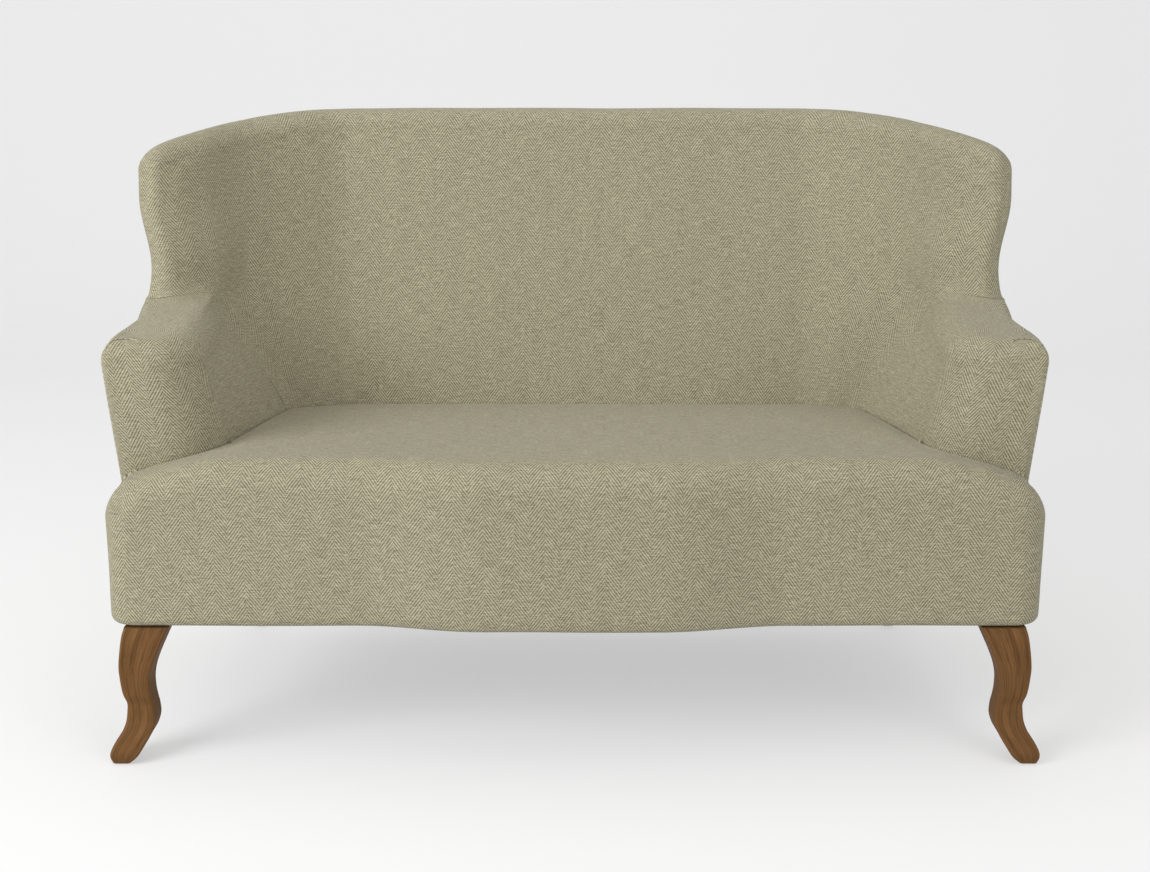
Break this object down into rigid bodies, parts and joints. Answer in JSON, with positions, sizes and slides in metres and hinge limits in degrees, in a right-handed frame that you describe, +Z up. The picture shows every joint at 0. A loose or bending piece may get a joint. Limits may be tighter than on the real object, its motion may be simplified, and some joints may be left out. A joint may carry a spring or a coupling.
{
  "type": "high back settee",
  "caption": "Upholstered high back settee with winged sides, scroll-free padded arms, a bowed seat front and carved wooden front legs.",
  "frame": {"origin": "middle of the settee's outline on the floor", "axes": "+X to the right as seen by someone facing the settee, +Y from the front to the back, +Z up"},
  "size_m": [1.4994, 0.7471, 1.003],
  "materials": {
    "upholstery_fabric": "matt herringbone weave",
    "leg_wood": "satin brown stain",
    "frame_wood": "sawn",
    "spring_steel": "oiled",
    "foam": "open foam",
    "webbing": "coarse jute",
    "dust_cloth": "non-woven",
    "glide_plastic": "matt"
  },
  "bodies": {
    "root": {"front_leg_left": "leg_wood", "front_leg_right": "leg_wood", "back_upright_left": "frame_wood", "back_upright_right": "frame_wood", "foot_glides": "glide_plastic", "leg_bolts": "spring_steel", "leg_plates": "spring_steel", "front_rail": "frame_wood", "rear_rail": "frame_wood", "side_rail_left": "frame_wood", "side_rail_right": "frame_wood", "centre_brace": "frame_wood", "corner_blocks": "frame_wood", "side_packings": "frame_wood", "arm_stump_left": "frame_wood", "arm_stump_right": "frame_wood", "arm_rail_left": "frame_wood", "arm_rail_right": "frame_wood", "arm_stay_rail_left": "frame_wood", "arm_stay_rail_right": "frame_wood", "wing_post_left": "frame_wood", "wing_post_right": "frame_wood", "wing_rail_left": "frame_wood", "wing_rail_right": "frame_wood", "back_top_rail": "frame_wood", "back_stay_rail": "frame_wood", "seat_springs": "spring_steel", "spring_clips": "spring_steel", "spring_tie_wires": "spring_steel", "seat_hessian": "webbing", "seat_foam": "foam", "seat_border_pad": "foam", "seat_cover": "upholstery_fabric", "back_webbing": "webbing", "back_pad": "foam", "arm_pad_left": "foam", "arm_pad_right": "foam", "inside_back_cover": "upholstery_fabric", "inside_arm_cover_left": "upholstery_fabric", "inside_arm_cover_right": "upholstery_fabric", "outside_arm_cover_left": "upholstery_fabric", "outside_arm_cover_right": "upholstery_fabric", "outside_wing_cover_left": "upholstery_fabric", "outside_wing_cover_right": "upholstery_fabric", "outside_back_cover": "upholstery_fabric", "dust_cover": "dust_cloth"}
  },
  "joints": []
}
